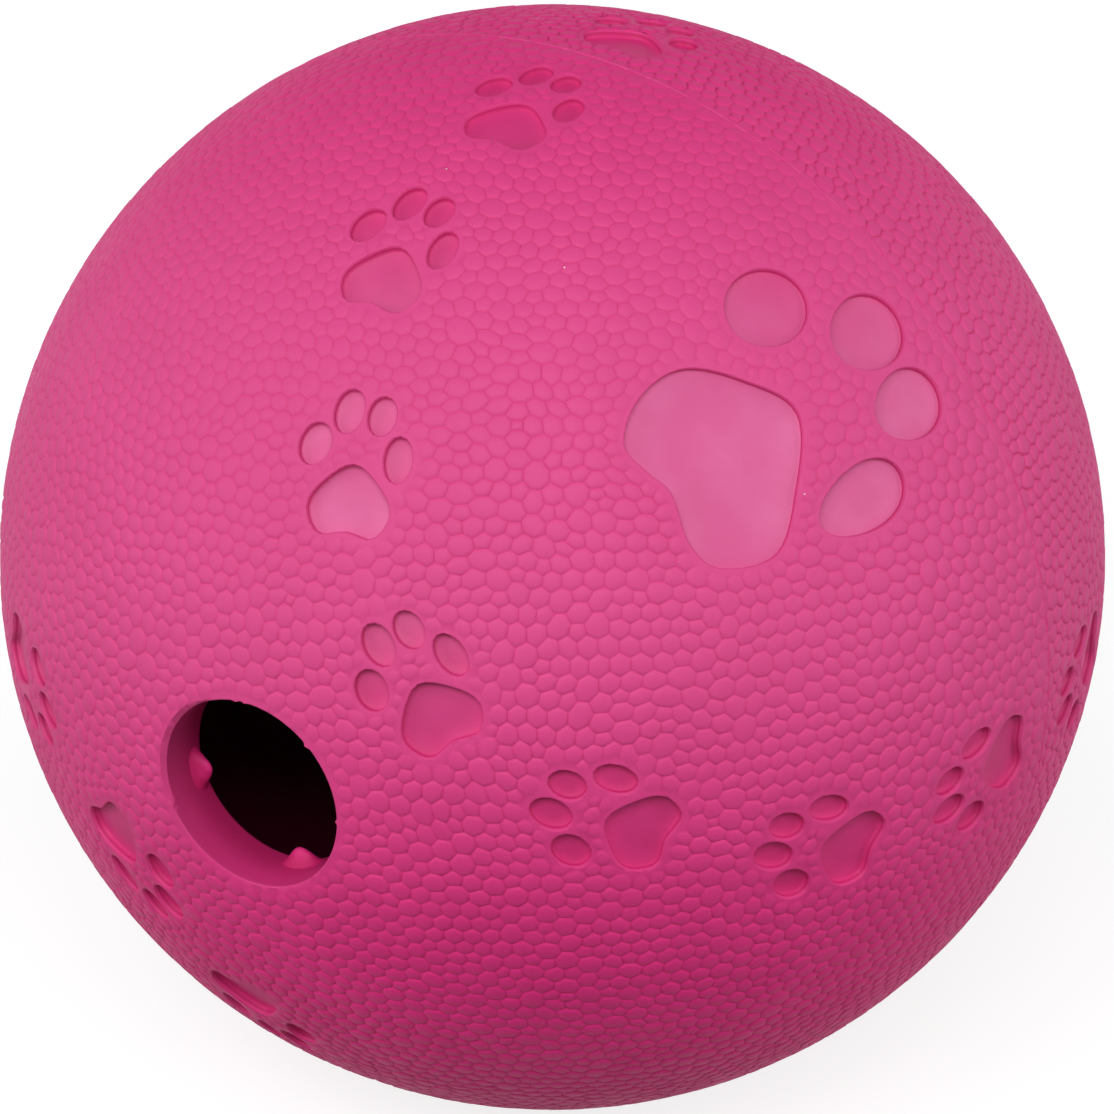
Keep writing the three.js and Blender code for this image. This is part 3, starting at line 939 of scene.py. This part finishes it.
def shell_rubber():
    """Pink rubber with painted shade in its grooves, recess walls, bore and hollow, a painted sheen with
    powder, rims pale with wear and a painted highlight, and a little dust.
    """
    material, place = rubber_start("shell_rubber")

    # Where the shell's parts lie, from the depth under the skin and the distance to the hole's mouth
    depth = BALL_RADIUS - place.vector("LENGTH", place)
    groove = depth.step(GROOVE_DEPTH / 2, GROOVE_DEPTH)
    wall = depth.step(GROOVE_DEPTH + 0.1, GROOVE_DEPTH + 0.27)
    floor = depth.step(LARGE_PRINT_DEPTH - 0.12, LARGE_PRINT_DEPTH - 0.05)
    hollow = depth.step(WALL - 0.1, WALL)
    mouth = math.sqrt(BALL_RADIUS ** 2 - HOLE_RADIUS ** 2)
    from_mouth = place.vector("DISTANCE", place, (0, -mouth, 0))
    hole = 1 - from_mouth.step(HOLE_RADIUS + 1.5, HOLE_RADIUS + 2)
    lip = depth.step(RIM_DROP + 0.02, RIM_DROP + 0.06) * (1 - depth.step(0.4, 0.55))
    lip = lip * (1 - from_mouth.step(HOLE_RADIUS + 0.5, HOLE_RADIUS + 0.6))

    # The skin's own pink and a film of painted sheen, then painted shade in the grooves, walls, bore and
    # hollow, and paler rims and lip
    mottle = blotches(place, MOTTLE_SIZE, 3)
    colour = mixed(mottle.step(0.35, 0.75) * MOTTLE_SHADE, SKIN_PINK, DEEP_PINK)
    away = place.vector("DOT_PRODUCT", place, SHEEN_BELT_AXIS) - SHEEN_BELT_MIDDLE
    away = away.sum("ABSOLUTE", away)
    # A film of painted sheen on the skin, paler in a belt across the ball
    sheen = 1 - away.step(SHEEN_FULL, SHEEN_END)
    colour = mixed(sheen * PAINTED_SHEEN, colour, SHEEN_AND_POWDER_PINK)
    # Painted shade in the grooves
    colour = mixed(groove * GROOVE_PAINTED_SHADE, colour, DEEP_PINK)
    # Pale recess rims: wear and a painted highlight
    rim = depth.step(GROOVE_DEPTH, GROOVE_DEPTH + 0.04) * (1 - depth.step(0.22, 0.34)) * (1 - hole)
    colour = mixed(rim * RIM_WEAR_AND_HIGHLIGHT, colour, SHEEN_AND_POWDER_PINK)
    # Painted shade on the recess walls
    colour = mixed(wall * (1 - 0.8 * floor) * (1 - hole) * WALL_PAINTED_SHADE, colour, DEEP_PINK)
    # Painted shade down the bore
    colour = mixed(hole * depth.step(0.5, WALL) * BORE_PAINTED_SHADE, colour, DEEP_PINK)
    colour = mixed(hole * depth.step(1, WALL) * BORE_PAINTED_DARKNESS, colour, PAINTED_SHADE_PINK)
    # Painted shade in the hollow
    colour = mixed(hollow * HOLLOW_PAINTED_SHADE, colour, PAINTED_SHADE_PINK)
    # The bevelled lip painted a little paler
    colour = mixed(lip * LIP_PALING, colour, SHEEN_AND_POWDER_PINK)

    # A painted sheen with patches of powder on the floors of the belt's prints, and the specks of dust
    belt = 1 - away.step(SHEEN_BELT_FULL, SHEEN_BELT_END)
    patches = blotches(place, PATCH_SIZE, 3).step(0.35, 0.7)
    sheen_and_powder = belt * (FLOOR_SHEEN_AND_POWDER + PATCH_SHEEN_AND_POWDER * patches)
    colour = mixed(floor * (1 - hole) * (1 - hollow) * sheen_and_powder, colour, SHEEN_AND_POWDER_PINK)
    specks = place.node("ShaderNodeTexVoronoi", None, {"Vector": place, "Scale": 1 / DUST_SPACING})
    colour = mixed(1 - (specks * DUST_SPACING).step(DUST_CORE, DUST_EDGE), colour, DUST)

    fine = blotches(place, 0.16)
    roughness = SHELL_ROUGHNESS + MOTTLE_ROUGHNESS * mottle - FLOOR_POLISH * floor
    rubber_finish(colour, roughness, fine + 2 * blotches(place, 0.7))
    return material


def bond_rubber():
    """The bond's rubber, a little paler where it was trimmed, with painted shade where it runs into the
    hollow.
    """
    material, place = rubber_start("bond_rubber")
    trimmed = blotches(place, 1.5, 3)
    colour = mixed(BOND_POWDER + trimmed.step(0.4, 0.7) * TRIMMED_POWDER, SKIN_PINK, SHEEN_AND_POWDER_PINK)
    depth = BALL_RADIUS - place.vector("LENGTH", place)
    # Painted shade where the bond runs into the hollow
    colour = mixed(depth.step(0.5, WALL) * BOND_PAINTED_SHADE, colour, PAINTED_SHADE_PINK)
    rubber_finish(colour, BOND_ROUGHNESS + TRIMMED_ROUGHNESS * trimmed, blotches(place, 0.2))
    return material


def lug_rubber():
    """The lugs' rubber: a deep pink as painted shade down in the bore, paler in blotches on the crests that
    reach in from it.
    """
    material, place = rubber_start("lug_rubber")
    level = place.vector("MULTIPLY", place, (1, 0, 1))
    reach = HOLE_RADIUS - level.vector("LENGTH", level)
    pale_crests = reach.step(0.1, LUG_REACH) * blotches(place, 0.9, 3).step(0.3, 0.6)
    # Deep pink as painted shade in the bore, paler on the crests
    colour = mixed(pale_crests, DEEP_PINK, SKIN_PINK)
    rubber_finish(colour, LUG_ROUGHNESS - RUBBED_POLISH * pale_crests, blotches(place, 0.2))
    return material


# The ball's pieces
PRINT_STAMP = stamp_tree()
small_print = print_recesses(
    SMALL_PAD, SMALL_PAD_PLACE, SMALL_PAD_SIDES, SMALL_TOES, SMALL_TOE_SIDES, SMALL_TOE_BOWL)
large_print = print_recesses(
    LARGE_PAD, LARGE_PAD_PLACE, LARGE_PAD_SIDES, LARGE_TOES, LARGE_TOE_SIDES, 0)
prints = [(large_print_places(), large_print), (small_print_places(), small_print)]

pink = shell_rubber()
skin = cobbled_skin(prints, pink)
depths = {"large_print": LARGE_PRINT_DEPTH, "small_print": SMALL_PRINT_DEPTH}
for (name, print_depth), (places, recesses) in zip(depths.items(), prints):
    cutter = print_cutter(name, recesses, print_depth)
    stamps = stamped_prints(f"{name}_stamps", cutter, places)
    carve(skin, stamps)
    remove(cutter, stamps)
front, rear = half_shells(skin, pink)
bead = seam_bead()
bead.data.materials.append(bond_rubber())
ball_pieces = (
    (front, "front_half_shell", "shell_rubber"),
    (rear, "rear_half_shell", "shell_rubber"),
    (bead, "seam_bond", "bond_rubber"),
)
for item, node, slot in ball_pieces:
    smooth(item)
    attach(item, "ball")
    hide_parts(node)
lug_pink = lug_rubber()
for index in range(LUG_COUNT):
    made = lug(index)
    smooth(made)
    made.data.materials.append(lug_pink)
    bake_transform(made)
    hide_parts(f"retaining_lug_{index + 1}")

# Camera, floor and light
CAMERA_AZIMUTH = 30.95
CAMERA_ELEVATION = 28.02
CAMERA_DISTANCE = 9 * BALL_RADIUS
CAMERA_LENS = 159.8
SENSOR_WIDTH = 36
NEAREST_IN_VIEW = 0.01
AIM_RIGHT = 0.377
ROOM_LIGHT = 0.12
LAMP_DISTANCE = 0.9
LAMPS = (
    dict(name="key", right=-0.12, up=0.3, breadth=0.8, height=0.35, strength=0.72),
    dict(name="left_side", right=-2.7, up=0.5, breadth=0.5, height=0.5, strength=0.3),
    dict(name="right_side", right=2.7, up=0.5, breadth=0.5, height=0.5, strength=0.34),
)

# The floor, in metres from the ball's middle, and its greys
FLOOR_REACH = 3
FLOOR_GAP = 0.0003
FADE_START = 0.1
FADE_END = 0.6
DULL_GREY = 0.23
CARD_GREY = 0.35
NEAR_GLOW = 0.8


def camera_axes():
    """The camera's right, up and back directions."""
    azimuth, elevation = math.radians(CAMERA_AZIMUTH), math.radians(CAMERA_ELEVATION)
    back = Vector((math.sin(azimuth) * math.cos(elevation), -math.cos(azimuth) * math.cos(elevation),
                   math.sin(elevation)))
    right = Vector((math.cos(azimuth), math.sin(azimuth), 0))
    return right, back.cross(right), back


def place_camera():
    right, _, back = camera_axes()
    data = bpy.data.cameras.new("camera")
    data.lens = CAMERA_LENS
    data.sensor_width = SENSOR_WIDTH
    data.clip_start = NEAREST_IN_VIEW
    camera = bpy.data.objects.new("camera", data)
    bpy.context.collection.objects.link(camera)
    camera.location = (back * CAMERA_DISTANCE + right * AIM_RIGHT) * MM
    camera.rotation_euler = back.to_track_quat("Z", "Y").to_euler()
    bpy.context.scene.camera = camera


def grey(level):
    return level, level, level


def lamp(name, right, up, breadth, height, strength):
    """A soft lamp that faces the ball. Strength 1 lights a facing white card to white."""
    camera_right, camera_up, camera_back = camera_axes()
    direction = camera_right * right + camera_up * up + camera_back
    data = bpy.data.lights.new(name, "AREA")
    data.shape = "RECTANGLE"
    data.size, data.size_y = breadth, height
    data.energy = strength * math.pi ** 2 * LAMP_DISTANCE ** 2
    made = bpy.data.objects.new(name, data)
    bpy.context.collection.objects.link(made)
    made.location = direction.normalized() * LAMP_DISTANCE
    made.rotation_euler = direction.to_track_quat("Z", "Y").to_euler()


def background_rays(start):
    """1 for the rays that show the background to the camera, straight, mirrored or through glass."""
    rays = start.node("ShaderNodeLightPath")
    mirrored = rays.sum("MAXIMUM", rays.output("Is Glossy Ray"), rays.output("Is Transmission Ray"))
    return rays.sum("MAXIMUM", rays, mirrored)


def white_room():
    """White surroundings that light the ball softly and look plain white to the camera."""
    world = bpy.data.worlds.new("white_room")
    bpy.context.scene.world = world
    world.use_nodes = True
    world.node_tree.nodes.clear()
    seen = background_rays(Wire(world.node_tree))
    strength = ROOM_LIGHT + (1 - ROOM_LIGHT) * seen
    glow = seen.node("ShaderNodeBackground", None, {"Color": (1, 1, 1, 1), "Strength": strength})
    seen.node("ShaderNodeOutputWorld", None, {"Surface": glow})


def floor():
    """A white floor that keeps the ball's soft shadow, throws little light up and fades into the room."""
    mesh = bpy.data.meshes.new("floor")
    low = -BALL_RADIUS * MM - FLOOR_GAP
    corners = [(x * FLOOR_REACH, y * FLOOR_REACH, low) for x, y in ((-1, -1), (1, -1), (1, 1), (-1, 1))]
    mesh.from_pydata(corners, [], [(0, 1, 2, 3)])
    made = bpy.data.objects.new("floor", mesh)
    bpy.context.collection.objects.link(made)
    material = bpy.data.materials.new("white_floor")
    material.use_nodes = True
    material.node_tree.nodes.clear()
    seen = background_rays(Wire(material.node_tree))
    dull = seen.node("ShaderNodeBsdfDiffuse", None, {"Color": (*grey(DULL_GREY), 1)})
    card = seen.node("ShaderNodeBsdfDiffuse", None, {"Color": (*grey(CARD_GREY), 1)})
    place = seen.node("ShaderNodeTexCoord", None, None, "Object")
    far = place.vector("LENGTH", place).step(FADE_START, FADE_END)
    glow = seen.node("ShaderNodeEmission", None, {"Color": mixed(far, grey(NEAR_GLOW), grey(1))})
    lit = seen.node("ShaderNodeAddShader", None, {0: card, 1: glow})
    surface = seen.node("ShaderNodeMixShader", None, {0: seen, 1: dull, 2: lit})
    seen.node("ShaderNodeOutputMaterial", None, {"Surface": surface})
    mesh.materials.append(material)


place_camera()
white_room()
floor()
for values in LAMPS:
    lamp(**values)
bpy.context.scene.view_settings.view_transform = "Standard"
